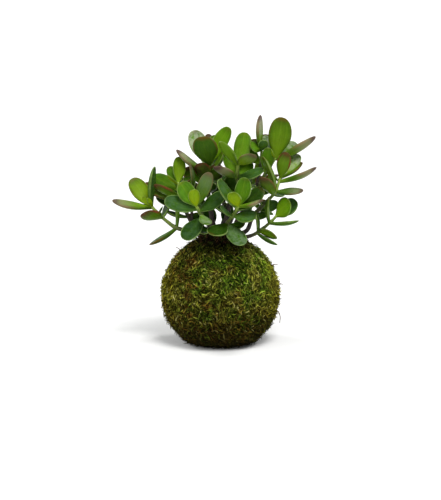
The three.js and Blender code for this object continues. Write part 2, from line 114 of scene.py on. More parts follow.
def joinInto(name, pieces):
    deselectAll()
    for piece in pieces:
        piece.select_set(True)
    bpy.context.view_layer.objects.active = pieces[0]
    bpy.ops.object.join()
    joined = bpy.context.object
    joined.name = name
    joined.data.name = name
    return joined


# Many copies of one small blank, as one mesh: placed holds each copy's points.
def meshOfCopies(name, blank, placed, markName, marks):
    deselectAll()
    blank.select_set(True)
    bpy.context.view_layer.objects.active = blank
    editWhole()
    bpy.ops.mesh.quads_convert_to_tris()
    bpy.ops.object.mode_set(mode="OBJECT")
    corners = np.empty(len(blank.data.loops), np.int64)
    blank.data.loops.foreach_get("vertex_index", corners)
    copies, each = placed.shape[:2]
    faces = corners.reshape(1, -1, 3) + each * np.arange(copies).reshape(-1, 1, 1)
    mesh = bpy.data.meshes.new(name)
    mesh.from_pydata(placed.reshape(-1, 3) * millimetre, [], faces.reshape(-1, 3))
    mesh.polygons.foreach_set("use_smooth", np.ones(len(mesh.polygons), bool))
    whole = bpy.data.objects.new(name, mesh)
    bpy.context.scene.collection.objects.link(whole)
    mark(whole, markName, marks.reshape(-1, marks.shape[-1]))
    return whole


# An outline drawn point by point and spun round the upright axis into a closed body.
def spinOutline(name, outline, steps):
    deselectAll()
    bpy.ops.mesh.primitive_plane_add(size=1)
    body = bpy.context.object
    body.name = name
    editWhole()
    bpy.ops.mesh.merge(type="COLLAPSE")
    bpy.ops.transform.translate(value=(outline[0][0], 0, outline[0][1]))
    for before, now in zip(outline[:-1], outline[1:]):
        step = (now[0] - before[0], 0, now[1] - before[1])
        bpy.ops.mesh.extrude_region_move(TRANSFORM_OT_translate={"value": step})
    bpy.ops.mesh.select_all(action="SELECT")
    bpy.ops.mesh.spin(steps=steps, angle=2 * pi, center=(0, 0, 0), axis=(0, 0, 1))
    bpy.ops.mesh.select_all(action="SELECT")
    bpy.ops.mesh.remove_doubles(threshold=0.01)
    finishSmooth()
    return body


def unit(vectors):
    return vectors / np.linalg.norm(vectors, axis=-1, keepdims=True)


def smoothStep(value, low, high):
    share = np.clip((value - low) / (high - low), 0, 1)
    return share * share * (3 - 2 * share)


def ownedBy(piece, node, slot, *materials):
    for material in materials:
        piece.data.materials.append(material)
    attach(piece, "root")
    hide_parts(node)


# Shader helpers. Colours are given as red, green and blue, and a socket knows the tree it is in.


def feed(socket, value):
    if isinstance(value, bpy.types.NodeSocket):
        socket.id_data.links.new(value, socket)
    elif socket.type == "RGBA":
        socket.default_value = (*value, 1)
    else:
        socket.default_value = value


def addNode(tree, kind, settings=None, **inputs):
    node = tree.nodes.new("ShaderNode" + kind)
    for name, value in (settings or {}).items():
        setattr(node, name, value)
    for name, value in inputs.items():
        feed(node.inputs[name], value)
    return node


def operate(kind, settings, *values):
    node = addNode(values[0].id_data, kind, settings)
    for socket, value in zip(node.inputs, values):
        feed(socket, value)
    return node.outputs[0]


# Numbers are kept between 0 and 1, vectors aren't.
def calculate(operation, *values):
    return operate("Math", {"operation": operation, "use_clamp": True}, *values)


def calculateVector(operation, *values):
    return operate("VectorMath", {"operation": operation}, *values)


def plus(first, second):
    return calculate("ADD", first, second)


def times(first, *others):
    for other in others:
        first = calculate("MULTIPLY", first, other)
    return first


def larger(first, second):
    return calculate("MAXIMUM", first, second)


# A soft step from start to end while the value goes from low to high.
def ease(value, low, high, start=0, end=1):
    inputs = {"Value": value, "From Min": low, "From Max": high, "To Min": start, "To Max": end}
    node = addNode(value.id_data, "MapRange", {"interpolation_type": "SMOOTHSTEP"}, **inputs)
    return node.outputs["Result"]


def blend(share, first, second):
    node = addNode(share.id_data, "Mix", {"data_type": "RGBA"})
    for number, value in ((0, share), (6, first), (7, second)):  # the sockets for colours
        feed(node.inputs[number], value)
    return node.outputs[2]


# Lays tints over a ground, one after the other, each with the share of it that it covers.
def layOver(ground, tints, **shares):
    for name, share in shares.items():
        ground = blend(share, ground, tints[name])
    return ground


def readMark(tree, name):
    marks = addNode(tree, "Attribute", {"attribute_name": name})
    parts = addNode(tree, "SeparateColor", Color=marks.outputs["Color"])
    return *parts.outputs, marks.outputs["Alpha"]


def startMaterial(name):
    material = bpy.data.materials.new(name)
    material.use_nodes = True
    return material, material.node_tree


# Mottling: a soft cloud of a given size on Object coordinates, sharpened between two levels.
def makeMottling():
    group = bpy.data.node_groups.new("mottling", "ShaderNodeTree")
    for name in ("Scale", "Low", "High", "Detail", "Shift"):
        group.interface.new_socket(name, in_out="INPUT", socket_type="NodeSocketFloat")
    group.interface.new_socket("Mask", in_out="OUTPUT", socket_type="NodeSocketFloat")
    given = group.nodes.new("NodeGroupInput").outputs
    place = calculateVector("ADD", addNode(group, "TexCoord").outputs["Object"], given["Shift"])
    cloud = addNode(group, "TexNoise", Vector=place, Scale=given["Scale"], Detail=given["Detail"])
    mask = ease(cloud.outputs["Fac"], given["Low"], given["High"])
    feed(group.nodes.new("NodeGroupOutput").inputs["Mask"], mask)
    return group


mottling = makeMottling()


def mottle(tree, scale, low=0.35, high=0.65, detail=3, shift=0):
    inputs = {"Scale": scale, "Low": low, "High": high, "Detail": detail, "Shift": shift}
    return addNode(tree, "Group", {"node_tree": mottling}, **inputs).outputs["Mask"]


# The grain is the scale, detail, strength and depth in metres of a material's fine bumps.
def finishMaterial(material, colour, roughness, shine=0.5, grain=None):
    tree = material.node_tree
    surface = tree.nodes["Principled BSDF"]
    feed(surface.inputs["Base Color"], colour)
    feed(surface.inputs["Roughness"], roughness)
    feed(surface.inputs["Specular IOR Level"], shine)
    if grain:
        scale, detail, strength, depth = grain
        height = mottle(tree, scale, 0.3, 0.7, detail)
        bump = addNode(tree, "Bump", Height=height, Strength=strength, Distance=depth)
        feed(surface.inputs["Normal"], bump.outputs["Normal"])
    return material


# Camera, floor and lights

cameraPlace = {"target": (0, 0, 0.0932), "distance": 1.6, "elevation": 10, "lens": 115.2, "sensor": 36}
studio = {
    "floorSize": 60,
    "floorColour": (0.70, 0.695, 0.685),
    "floorRoughness": 0.9,
    "floorShine": 0.1,
    "skyColour": (0.93, 0.97, 1.0),
    "skyStrength": 0.42,
    "suns": [  # where from, in degrees round and up, how wide and how strong
        {"round": 24, "up": 62, "wide": 24, "strength": 2.9},
        {"round": -48, "up": 34, "wide": 40, "strength": 0.7},
        {"round": 128, "up": 32, "wide": 20, "strength": 1.6},
        {"round": -122, "up": 30, "wide": 20, "strength": 1.6},
    ],
}


def addCamera(place):
    rise = radians(place["elevation"])
    back = Vector((0, -cos(rise), sin(rise)))
    at = Vector(place["target"]) + place["distance"] * back
    bpy.ops.object.camera_add(location=at, rotation=(pi / 2 - rise, 0, 0))
    camera = bpy.context.object
    camera.data.lens = place["lens"]
    camera.data.sensor_width = place["sensor"]
    bpy.context.scene.camera = camera


def addStudio(settings):
    bpy.ops.mesh.primitive_plane_add(size=settings["floorSize"])
    floor = bpy.context.object
    floor.name = "studio_floor"
    paper, _ = startMaterial("palePaper")
    finishMaterial(paper, settings["floorColour"], settings["floorRoughness"], settings["floorShine"])
    floor.data.materials.append(paper)
    for number, sun in enumerate(settings["suns"]):
        turn, rise = radians(sun["round"]), radians(sun["up"])
        bpy.ops.object.light_add(type="SUN", rotation=(pi / 2 - rise, 0, turn))
        lamp = bpy.context.object
        lamp.name = f"soft_sun_{number + 1}"
        lamp.data.angle = radians(sun["wide"])
        lamp.data.energy = sun["strength"]
    world = bpy.data.worlds.new("studioSky")
    world.use_nodes = True
    sky = world.node_tree.nodes["Background"]
    feed(sky.inputs["Color"], settings["skyColour"])
    feed(sky.inputs["Strength"], settings["skyStrength"])
    bpy.context.scene.world = world
    bpy.context.scene.view_settings.view_transform = "Standard"


deselectAll()
addCamera(cameraPlace)
addStudio(studio)
print("studio is set")


# Moss

ball = {
    "radius": 59, "centre": 49, "mossThickness": 6.5, "neck": 23, "footDepth": 6, "footEase": 14,
    "lip": (0.4, 1),  # how far the rim at the neck is drawn in and down
    "under": 2.6,  # how far the moss's ground lies below its mean height
    "tufts": 1.3, "lumps": 0.4, "steps": 144, "rings": 72, "innerRings": 20,
}
thread = {
    "thickness": 0.9, "rise": -1.2, "tilt": 52, "turns": 3, "start": 23, "sink": 0.5, "sinkWidth": 9,
    "sides": 8, "steps": 480, "twists": 130,
    "ply": (0.62, 0.38),  # how thick it is between two plies, and how much they add
}

lean = radians(thread["tilt"])
threadPoles = []
for turnNumber in range(thread["turns"]):
    around = radians(thread["start"] + turnNumber * 360 / thread["turns"])
    threadPoles.append((sin(lean) * cos(around), sin(lean) * sin(around), cos(lean)))
threadPoles = np.array(threadPoles)


# How far the moss stands off the mean ball in each direction, as in the CAD, with finer lumps on it.
def mossRise(out):
    x, y, z = out.T
    height = ball["centre"] + ball["radius"] * z
    wideTufts = np.sin(7 * x + 3 * z) * np.cos(8 * y - 4 * x)
    smallTufts = 0.6 * np.sin(13 * y + 9 * z) * np.cos(15 * x + 2)
    wideLumps = np.sin(31 * x + 17 * z + 1) * np.cos(29 * y - 11 * z)
    smallLumps = 0.7 * np.sin(53 * z + 37 * y) * np.cos(47 * x - 23 * y)
    offsets = ball["radius"] * (out @ threadPoles.T) / thread["sinkWidth"]
    pulled = np.exp(-(offsets**2)).max(axis=1)
    settled = smoothStep(height, 0, ball["footEase"])
    raised = ball["tufts"] * (wideTufts + smallTufts) + ball["lumps"] * (wideLumps + smallLumps)
    return settled * (raised * (1 - pulled) - thread["sink"] * pulled)


def arc(radius, fromAngle, toAngle, stations):
    angles = np.linspace(fromAngle, toAngle, stations)
    return [(radius * sin(a), ball["centre"] + radius * cos(a)) for a in angles]


def modelMossBase():
    inner = ball["radius"] - ball["mossThickness"]
    ground = ball["radius"] - ball["under"]
    lipOuter = asin(ball["neck"] / ground)
    lipInner = asin(ball["neck"] / inner)
    footOuter = acos(-ball["centre"] / ground)
    footInner = acos((ball["footDepth"] - ball["centre"]) / inner)
    outside = arc(ground, footOuter, lipOuter, ball["rings"])
    inside = arc(inner, lipInner, footInner, ball["innerRings"])
    lip = (ball["neck"] - ball["lip"][0], outside[-1][1] - ball["lip"][1])
    foot = [(0, 0), (outside[0][0] / 2, 0)]
    innerFoot = [(inside[-1][0] / 2, ball["footDepth"]), (0, ball["footDepth"])]
    base = spinOutline("moss_wrap_base", [*foot, *outside, lip, *inside, *innerFoot], ball["steps"])
    points = pointsOf(base)
    far = np.linalg.norm(points - (0, 0, ball["centre"]), axis=1)
    near = 0.5
    outer = (far > ground - near) & (points[:, 2] > near)
    out = (points[outer] - (0, 0, ball["centre"])) / far[outer, None]
    points[outer] += out * mossRise(out)[:, None]
    movePoints(base, points * millimetre)
    return base


# Sizes in millimetres and angles in degrees. Combed is how much the strands run the same way.
mossShoots = {
    "count": 21000, "halves": 2, "long": (3, 7.5), "thick": (0.7, 1.25), "combed": 0.5, "tone": (0, 0.8),
    "pitch": (20, 75), "droop": 65, "curl": 60, "seed": 11,
}
mossFibres = {
    "count": 13500, "halves": 2, "long": (5, 11.5), "thick": (0.65, 1.3), "combed": 0.35, "tone": (0, 1),
    "pitch": (12, 50), "droop": 45, "curl": 170, "seed": 12,
}
mossStrays = {
    "count": 2800, "halves": 1, "long": (3.5, 9), "thick": (0.4, 0.8), "combed": 0, "tone": (0, 0.9),
    "pitch": (38, 88), "droop": 45, "curl": 110, "seed": 13,
}
strandPlan = {
    "fineSteps": 6,  # small steps along a strand between two of its rings
    "flattened": 0.02,  # how much is left of what would reach under the floor gap
    "sunk": 0.6, "droops": (0.5, 1.2), "floorGap": 0.12, "inNeck": 1.5, "aboveFoot": 0.008, "nudge": 0.012,
}


def rootsOnMoss(out):
    ground = ball["radius"] - ball["under"] - strandPlan["sunk"]
    return out * (ground + mossRise(out))[:, None] + (0, 0, ball["centre"])


def cosAndSin(angle):
    return np.cos(angle)[:, None], np.sin(angle)[:, None]


# Places copies of a strand's blank, each from its root: it rises, then droops and curls round.
def placeStrands(blank, form, out, roots):
    random = np.random.default_rng(form["seed"] + len(out))
    count = len(out)
    blankPoints = pointsOf(blank)
    x, y, z = out.T
    comb = np.stack([np.sin(4 * y + 3 * z), np.cos(5 * x - 2 * z + 1), np.sin(6 * x + 3 * y) - 0.7], axis=1)
    astray = np.cross(out, unit(random.normal(size=(count, 3))))
    along = comb - out * (comb * out).sum(axis=1, keepdims=True)
    level = unit(along * form["combed"] + astray * (1 - form["combed"]))
    cross = np.cross(out, level)
    long = random.uniform(*form["long"], count)
    thick = random.uniform(*form["thick"], count)
    pitch = np.radians(random.uniform(*form["pitch"], count))
    droop = np.radians(form["droop"]) * random.uniform(*strandPlan["droops"], count)
    curl = np.radians(form["curl"]) * random.uniform(-1, 1, count)

    def headingAt(share):
        ahead, aside = cosAndSin(curl * share)
        flat, steep = cosAndSin(pitch - droop * share)
        return level * ahead + cross * aside, cross * ahead - level * aside, flat, steep

    placed = np.empty((count, len(blankPoints), 3))
    reached = roots.copy()
    before = 0
    for station in np.unique(blankPoints[:, 1].round(5)):
        step = (station - before) / strandPlan["fineSteps"] * long
        for share in np.linspace(before, station, strandPlan["fineSteps"], endpoint=False):
            ahead, _, flat, steep = headingAt(share)
            reached = reached + (ahead * flat + out * steep) * step[:, None]
        before = station
        ahead, sideways, flat, steep = headingAt(station)
        over = out * flat - ahead * steep
        for index in np.flatnonzero(np.abs(blankPoints[:, 1] - station) < 1e-4):
            x, _, z = blankPoints[index]
            placed[:, index] = reached + (sideways * x + over * z) * thick[:, None] / 2
    low = placed[:, :, 2]
    onFloor = strandPlan["floorGap"] + strandPlan["flattened"] * np.abs(low)
    placed[:, :, 2] = np.where(low < strandPlan["floorGap"], onFloor, low)
    marks = np.ones((count, len(blankPoints), 4))
    marks[:, :, 0] = random.uniform(*form["tone"], count)[:, None]
    marks[:, :, 1] = blankPoints[:, 1]
    marks[:, :, 2] = random.uniform(0, 1, count)[:, None]
    return placed, marks


# Evenly spread directions on the ball from the neck to the foot, each nudged a little.
def spreadDirections(count, seed):
    random = np.random.default_rng(seed)
    top = cos(asin((ball["neck"] - strandPlan["inNeck"]) / ball["radius"]))
    bottom = -ball["centre"] / ball["radius"] + strandPlan["aboveFoot"]
    steps = np.arange(count) + 0.5
    z = top + (bottom - top) * steps / count
    turn = steps * pi * (3 - sqrt(5))
    flat = np.sqrt(1 - z * z)
    out = np.stack([flat * np.cos(turn), flat * np.sin(turn), z], axis=1)
    out = unit(out + random.normal(scale=strandPlan["nudge"], size=out.shape))
    return out[(out[:, 2] < top) & (out[:, 2] > bottom)]


mossTints = {  # each from its deepest to its most vivid
    "green": ((0.008, 0.024, 0.001), (0.36, 0.63, 0.045)),
    "olive": ((0.026, 0.027, 0.001), (0.67, 0.66, 0.09)),
    "brown": ((0.028, 0.014, 0.001), (0.56, 0.33, 0.05)),
    "golden": ((0.052, 0.046, 0.001), (0.53, 0.50, 0.03)),
}
# Straw is the colour of dry tips; the other two are painted shade.
mossShades = {"straw": (0.75, 0.70, 0.22), "atRoot": (0.008, 0.008, 0.001), "gloom": (0.010, 0.008, 0.002)}


def makeMossMaterial():
    material, tree = startMaterial("mossStrands")
    tone, reach, dry, _ = readMark(tree, "strandMark")
    place = addNode(tree, "TexCoord").outputs["Object"]
    x, _, height = addNode(tree, "SeparateXYZ", Vector=place).outputs
    # Painted light: the strands grow more vivid towards the upper right, where the key light falls.
    sunny = times(ease(x, 0.005, 0.045, 0, 0.09), ease(height, 0.045, 0.070))
    vivid = plus(calculate("POWER", tone, 2.6), sunny)
    tints = {name: blend(vivid, *pair) for name, pair in mossTints.items()}
    # More olive towards the left across the ball; the rise at the far right edge is painted rim light.
    side = plus(ease(x, -0.055, 0.030, 0.6, -0.8), ease(x, 0.040, 0.056, 0, 1.2))
    brownPatch = times(mottle(tree, 75, 0.48, 0.68, 3, 0.4), ease(dry, 0.1, 0.45))
    brownPatch = times(brownPatch, ease(x, -0.045, 0.04, 1.6, 0.4))
    brownLow = times(ease(height, 0.015, 0.055, 0.9, 0), ease(dry, 0.1, 0.6))
    # Painted rim light: a golden tint at both flanks of the ball, for light glowing through the strands at
    # the silhouette.
    flank = ease(calculate("ABSOLUTE", x), 0.036, 0.058)
    colour = layOver(
        tints["green"], {**tints, **mossShades},
        olive=plus(plus(mottle(tree, 60, 0.40, 0.64), side), ease(dry, 0.72, 0.80, 0, 0.6)),
        brown=plus(brownPatch, brownLow),
        golden=times(flank, ease(mottle(tree, 40, 0.4, 0.6, 3, 2.3), 0, 1, 0.45, 0.9)),
        straw=ease(dry, 0.97, 0.98),
        # painted shade: each strand darkens towards its root, where the strands shade one another
        atRoot=ease(reach, 0.05, 0.75, 0.95, 0),
        # painted shade: darker towards the foot of the ball and near the neck under the crown
        gloom=larger(ease(height, 0, 0.055, 0.85, 0), ease(height, 0.090, 0.104, 0, 0.8)),
    )
    return finishMaterial(material, colour, 0.7, 0.03, (2600, 2, 0.4, 0.0002))


def makeMossBaseMaterial():
    material, tree = startMaterial("mossUnder")
    # The ground under the strands: its near-black is painted shade, mottled with its own dark olive and dark
    # brown.
    blackish, darkOlive, darkBrown = (0.003, 0.003, 0.001), (0.016, 0.018, 0.003), (0.016, 0.009, 0.003)
    colour = blend(mottle(tree, 420), blackish, darkOlive)
    colour = blend(mottle(tree, 90, 0.45, 0.65), colour, darkBrown)
    return finishMaterial(material, colour, 1, 0.1, (700, 4, 0.9, 0.0015))


mossSkin = makeMossMaterial()
ownedBy(modelMossBase(), "moss_wrap", "moss", makeMossBaseMaterial())

shootBlank = modelBlank("shootBlank", 3, (0, 0.35, 0.7, 1), (0.8, 1, 0.75, 0.3))
fibreBlank = modelBlank("fibreBlank", 3, (0, 0.25, 0.5, 0.75, 1), (1, 1, 0.9, 0.7, 0.3))
for name, blank, form in (
    ("moss_shoots", shootBlank, mossShoots),
    ("moss_fibres", fibreBlank, mossFibres),
    ("moss_strays", fibreBlank, mossStrays),
):
    directions = spreadDirections(form["count"], form["seed"] + 10)
    for half in range(form["halves"]):
        out = directions[half :: form["halves"]]
        placed, marks = placeStrands(blank, form, out, rootsOnMoss(out))
        strands = meshOfCopies(f"{name}_{half + 1}", blank, placed, "strandMark", marks)
        ownedBy(strands, "moss_wrap", "moss", mossSkin)
print("moss is grown")


# Soil

soil = {
    "mound": 113, "steps": 96, "rings": 24, "moundRings": 22, "gap": 0.3,
    "crumbs": 1500, "crumbSize": (0.5, 1.6), "mostlySmall": 1.5, "seed": 31,
    "collar": 1.1, "crumbEdge": 0.8,  # how far its edge and the crumbs stay inside the neck
}
neckFibres = {
    "count": 1500, "long": (3.5, 9), "thick": (0.5, 1), "combed": 0, "tone": (0, 1),
    "pitch": (35, 85), "droop": 55, "curl": 90, "seed": 33,
    "reach": 22.5,  # how far from the middle the outermost start
    "upright": 0.8, "astray": 0.25, "sunk": 0.8,
}


# From the top of the mound down to the rim of the ball.
def soilHeight(radius):
    rim = ball["centre"] + sqrt(ball["radius"] ** 2 - ball["neck"] ** 2)
    reach = np.array([0, 0.34, 0.66, 0.9, 1.0]) * (ball["neck"] - soil["collar"])
    height = np.array([soil["mound"], soil["mound"] - 0.5, soil["mound"] - 2.2, rim + 4, rim])
    return np.interp(radius, reach, height)


def crumbWave(x, y):
    return 0.9 * np.sin(0.9 * x + 1) * np.cos(0.8 * y - 0.5)


def modelSoil():
    radius = ball["radius"] - ball["mossThickness"] - soil["gap"]
    floor = ball["footDepth"] + soil["gap"]
    collar = ball["neck"] - soil["collar"]
    foot, neck = acos((floor - ball["centre"]) / radius), asin(collar / radius)
    body = arc(radius, foot, neck, soil["rings"])
    mound = [(r, float(soilHeight(r))) for r in np.linspace(collar, 0.6, soil["moundRings"])]
    outline = [(0, floor), (body[0][0] / 2, floor), *body, *mound, (0, soil["mound"])]
    base = spinOutline("soil_mound_base", outline, soil["steps"])
    points = pointsOf(base)
    heaped = points[:, 2] > float(soilHeight(collar)) + 0.5
    x, y = points[heaped, 0], points[heaped, 1]
    points[heaped, 2] += crumbWave(x, y) + 0.4 * np.sin(2.9 * x) * np.cos(3.3 * y + 1)
    movePoints(base, points * millimetre)
    return base


def modelCrumbBlank():
    deselectAll()
    bpy.ops.mesh.primitive_ico_sphere_add(subdivisions=1, radius=1)
    crumb = bpy.context.object
    crumb.name = "crumbBlank"
    editWhole()
    bpy.ops.transform.vertex_random(offset=0.25, seed=5)
    bpy.ops.transform.resize(value=(1.0, 0.8, 0.65), center_override=(0, 0, 0))
    bpy.ops.object.mode_set(mode="OBJECT")
    return crumb


def scatterOnSoil(random, count, reach, innermost):
    radius = reach * np.sqrt(random.uniform(innermost, 1, count))
    around = random.uniform(0, 2 * pi, count)
    x, y = radius * np.cos(around), radius * np.sin(around)
    return x, y, soilHeight(radius) + crumbWave(x, y)


def placeCrumbs(blank):
    random = np.random.default_rng(soil["seed"])
    count = soil["crumbs"]
    middles = np.stack(scatterOnSoil(random, count, ball["neck"] - soil["crumbEdge"], 0), axis=1)
    size = random.uniform(*soil["crumbSize"], count) ** soil["mostlySmall"]
    first = unit(random.normal(size=(count, 3)))
    second = unit(np.cross(first, unit(random.normal(size=(count, 3)))))
    third = np.cross(first, second)
    x, y, z = pointsOf(blank).T[:, None, :, None]
    spun = first[:, None] * x + second[:, None] * y + third[:, None] * z
    placed = spun * size[:, None, None] + middles[:, None]
    marks = np.ones((*placed.shape[:2], 4))
    marks[:, :, 0] = random.uniform(0, 1, count)[:, None]
    return placed, marks


# Fine roots and dark moss that climb over the soil and up round the foot of the stems.
def rootsOnSoil(form):
    random = np.random.default_rng(form["seed"])
    x, y, z = scatterOnSoil(random, form["count"], form["reach"], 0.02)
    roots = np.stack([x, y, z - form["sunk"]], axis=1)
    lean = np.stack([x / form["reach"], y / form["reach"], np.full(len(x), form["upright"])], axis=1)
    return unit(lean + random.normal(scale=form["astray"], size=lean.shape)), roots


def makeRootMaterial():
    material, tree = startMaterial("fineRoots")
    tone, reach, dry, _ = readMark(tree, "strandMark")
    vivid = calculate("POWER", tone, 2)
    brown = blend(vivid, (0.008, 0.004, 0.002), (0.11, 0.055, 0.022))
    green = blend(vivid, (0.008, 0.012, 0.002), (0.055, 0.080, 0.012))
    # Each strand darkens towards its base.
    earthy = (0.005, 0.004, 0.002)
    colour = blend(ease(dry, 0.45, 0.55), brown, green)
    return finishMaterial(material, blend(ease(reach, 0, 0.6, 0.8, 0), colour, earthy), 0.9, 0.05)


def makeSoilMaterial():
    material, tree = startMaterial("dampSoil")
    wet, dry, between = (0.005, 0.003, 0.001), (0.035, 0.018, 0.008), (0.008, 0.005, 0.002)
    colour = blend(readMark(tree, "crumbMark")[0], wet, dry)
    colour = blend(mottle(tree, 600, 0.4, 0.6), colour, between)
    return finishMaterial(material, colour, 0.95, 0.1, (1500, 4, 0.8, 0.0006))


dampSoil = makeSoilMaterial()
ownedBy(modelSoil(), "soil_ball", "soil", dampSoil)
crumbBlank = modelCrumbBlank()
placed, marks = placeCrumbs(crumbBlank)
ownedBy(meshOfCopies("soil_crumbs", crumbBlank, placed, "crumbMark", marks), "soil_ball", "soil", dampSoil)
out, roots = rootsOnSoil(neckFibres)
placed, marks = placeStrands(fibreBlank, neckFibres, out, roots)
fineRoots = makeRootMaterial()
ownedBy(meshOfCopies("neck_fibres", fibreBlank, placed, "strandMark", marks), "soil_ball", "soil", fineRoots)
print("soil is heaped")


# Thread: turns of two-ply thread that follow the moss


def modelThreadTurn(pole, number):
    deselectAll()
    bpy.ops.mesh.primitive_torus_add(
        major_radius=1, minor_radius=0.1, major_segments=thread["steps"], minor_segments=thread["sides"]
    )
    turn = bpy.context.object
    turn.name = f"threadTurn{number}"
    points = pointsOf(turn)
    around = np.arctan2(points[:, 1], points[:, 0])
    ring = np.hypot(points[:, 0], points[:, 1]) - 1
    section = np.arctan2(points[:, 2], ring)
    pole = unit(np.array(pole))
    first = unit(np.cross(pole, (0.0, 0.0, 1.0)))
    second = np.cross(pole, first)
    out = np.cos(around)[:, None] * first + np.sin(around)[:, None] * second
    thinnest, added = thread["ply"]
    ply = thinnest + added * np.abs(np.cos(section - around * thread["twists"] / 2))
    half = thread["thickness"] / 2 * ply
    far = ball["radius"] + mossRise(out) + thread["rise"] + half * np.cos(section)
    placed = out * far[:, None] + pole * (half * np.sin(section))[:, None] + (0, 0, ball["centre"])
    movePoints(turn, placed * millimetre)
    bpy.ops.object.shade_smooth()
    return turn


def makeThreadMaterial():
    material, tree = startMaterial("twistedThread")
    colour = blend(mottle(tree, 900), (0.030, 0.032, 0.008), (0.085, 0.080, 0.025))
    return finishMaterial(material, colour, 0.8, 0.05, (4000, 2, 0.5, 0.0001))


threadTurns = [modelThreadTurn(pole, number) for number, pole in enumerate(threadPoles)]
binding = joinInto("binding_thread_plies", threadTurns)
ownedBy(binding, "binding_thread", "thread", makeThreadMaterial())
print("thread is bound")


# Leafy stems

leafForm = {
    "sides": 20, "rings": 14, "neck": 0.16, "widestAt": 0.56, "baseFullness": 1.25, "tipRoundness": 2.2,
    "tipFullness": 7, "tipStation": 0.9995, "thinnest": 1, "thickShare": 0.115, "upperShare": 0.36,
    "fullness": (0.7, 0.3),  # thickness at the ends, and how much the middle adds
    "bow": 0.045, "cup": 0.05, "sunk": 1.8, "midrib": 0.16, "midribWidth": 0.14,
    "ripple": ((0.1, 0.35), (0.8, 1.6), (0, 6)),  # how high, how many and from where
    "twist": 0.12, "sway": 0.03, "curl": 0.02, "seed": 41,
    "drift": 0.08,  # how far one leaf's look strays from its kind's
}
stemForm = {
    "sides": 14, "rings": 72, "tip": 0.6, "knuckle": 0.22, "knuckleWidth": 0.16,
    "uneven": ((0.04, 9, 0), (0.03, 23, 1)),  # how much, how often and from where
}

# What each kind of leaf looks like: how light, how red at its edge, how yellow, how much pale blue bloom.
# The lightness is partly painted light: the darkest kinds are darkened as painted shade for leaves deep in
# the crown, and one bright kind is lightened as painted light for a leaf turned away from the light.
leafKinds = {
    "green": (0.5, 0.25, 0.12, 0.05), "bright": (0.95, 0.1, 0.35, 0.05), "tall": (0.48, 0.55, 0.22, 0),
    "fresh": (0.92, 0.2, 0.12, 0.18), "ripe": (0.52, 0.3, 0.36, 0.04), "blush": (0.75, 0.8, 0.25, 0.17),
    "young": (1, 0.15, 1, 0), "olive": (0.65, 0.45, 0.7, 0), "sunEdge": (1, 0.62, 0.7, 0.1),
    "dark": (0, 0.2, 0.05, 0), "dull": (0.26, 0.62, 0.2, 0.35), "blue": (0.28, 0.05, 0, 0.5),
    "powdery": (0.22, 0.05, 0, 0.71), "shade": (0.04, 0.1, 0, 0.36), "frosted": (0.55, 0.1, 0.1, 0.82),
    "speckled": (1, 0.15, 0.6, 0.85), "pale": (0.8, 0.2, 0.15, 1), "brown": (0.08, 1, 0.3, 0),
    "rust": (0.3, 0.88, 0.26, 0.06), "deep": (0.1, 0.52, 0.12, 0), "plum": (0.24, 0.5, 0.1, 0.07),
    "redEdge": (0.5, 1, 0.25, 0), "redTip": (0.62, 0.85, 0.25, 0.22),
}

